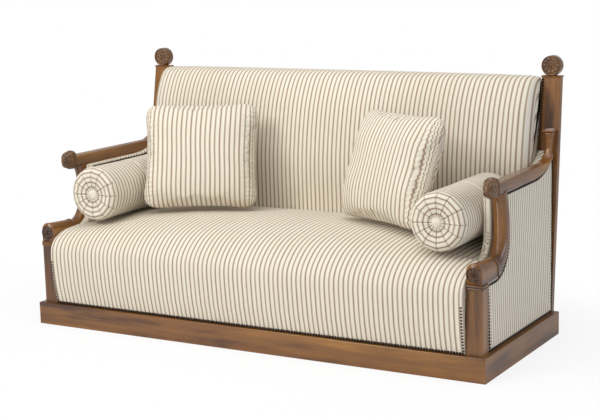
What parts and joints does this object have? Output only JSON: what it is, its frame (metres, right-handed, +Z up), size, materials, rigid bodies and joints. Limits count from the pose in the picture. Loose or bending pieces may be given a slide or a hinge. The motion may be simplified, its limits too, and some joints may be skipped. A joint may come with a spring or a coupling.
{
  "type": "recamier settee",
  "caption": "Carved hardwood settee on a plinth, with scrolled arm supports, raked back posts with discs, a sprung seat, a stuffed back, bolsters and loose pillows in striped cloth.",
  "frame": {"origin": "on the floor, under the middle of the overall length and depth", "axes": "+X to the right as seen from the front, along the length; +Y to the back; +Z up"},
  "size_m": [1.96, 0.869, 1.06],
  "materials": {
    "mahogany": "polished mahogany",
    "frame_wood": "plain beech",
    "webbing": "plain jute",
    "spring_steel": "coppered wire",
    "striped_cover": "cream cotton with narrow brown stripes"
  },
  "bodies": {
    "settee": {"arm_board_left": "frame_wood", "arm_board_right": "frame_wood", "arm_capital_left": "mahogany", "arm_capital_right": "mahogany", "arm_knob_left": "mahogany", "arm_knob_right": "mahogany", "arm_left": "mahogany", "arm_pad_left": "striped_cover", "arm_pad_right": "striped_cover", "arm_right": "mahogany", "arm_support_left": "mahogany", "arm_support_right": "mahogany", "back_low_rail": "frame_wood", "back_pad": "striped_cover", "back_post_left": "mahogany", "back_post_right": "mahogany", "back_top_rail": "frame_wood", "back_webbing": "webbing", "finial_left": "mahogany", "finial_right": "mahogany", "front_bead_left": "mahogany", "front_bead_right": "mahogany", "front_post_left": "mahogany", "front_post_right": "mahogany", "outside_back": "striped_cover", "plinth_back": "mahogany", "plinth_front": "mahogany", "plinth_side_left": "mahogany", "plinth_side_right": "mahogany", "post_cap_left": "mahogany", "post_cap_right": "mahogany", "scroll_left": "mahogany", "scroll_right": "mahogany", "seat_border": "striped_cover", "seat_brace_left": "frame_wood", "seat_brace_right": "frame_wood", "seat_pad": "striped_cover", "seat_rail_back": "frame_wood", "seat_rail_front": "frame_wood", "seat_rail_side_left": "frame_wood", "seat_rail_side_right": "frame_wood", "seat_springs": "spring_steel", "seat_webbing": "webbing", "side_panel_left": "striped_cover", "side_panel_right": "striped_cover", "under_lining": "webbing"},
    "bolster_left": {"bolster_left": "striped_cover", "bolster_buttons_left": "striped_cover"},
    "bolster_right": {"bolster_right": "striped_cover", "bolster_buttons_right": "striped_cover"},
    "pillow_left": {"pillow_left": "striped_cover"},
    "pillow_right": {"pillow_right": "striped_cover"}
  },
  "joints": [
    {"name": "pillow_left_lift", "type": "slide", "parent": "settee", "child": "pillow_left", "axis": [0, 0, 1], "range_m": [0, 0.45]},
    {"name": "pillow_right_lift", "type": "slide", "parent": "settee", "child": "pillow_right", "axis": [0, 0, 1], "range_m": [0, 0.45]},
    {"name": "bolster_left_draw", "type": "slide", "parent": "settee", "child": "bolster_left", "axis": [0, -1, 0], "range_m": [0, 0.4]},
    {"name": "bolster_right_draw", "type": "slide", "parent": "settee", "child": "bolster_right", "axis": [0, -1, 0], "range_m": [0, 0.4]}
  ]
}
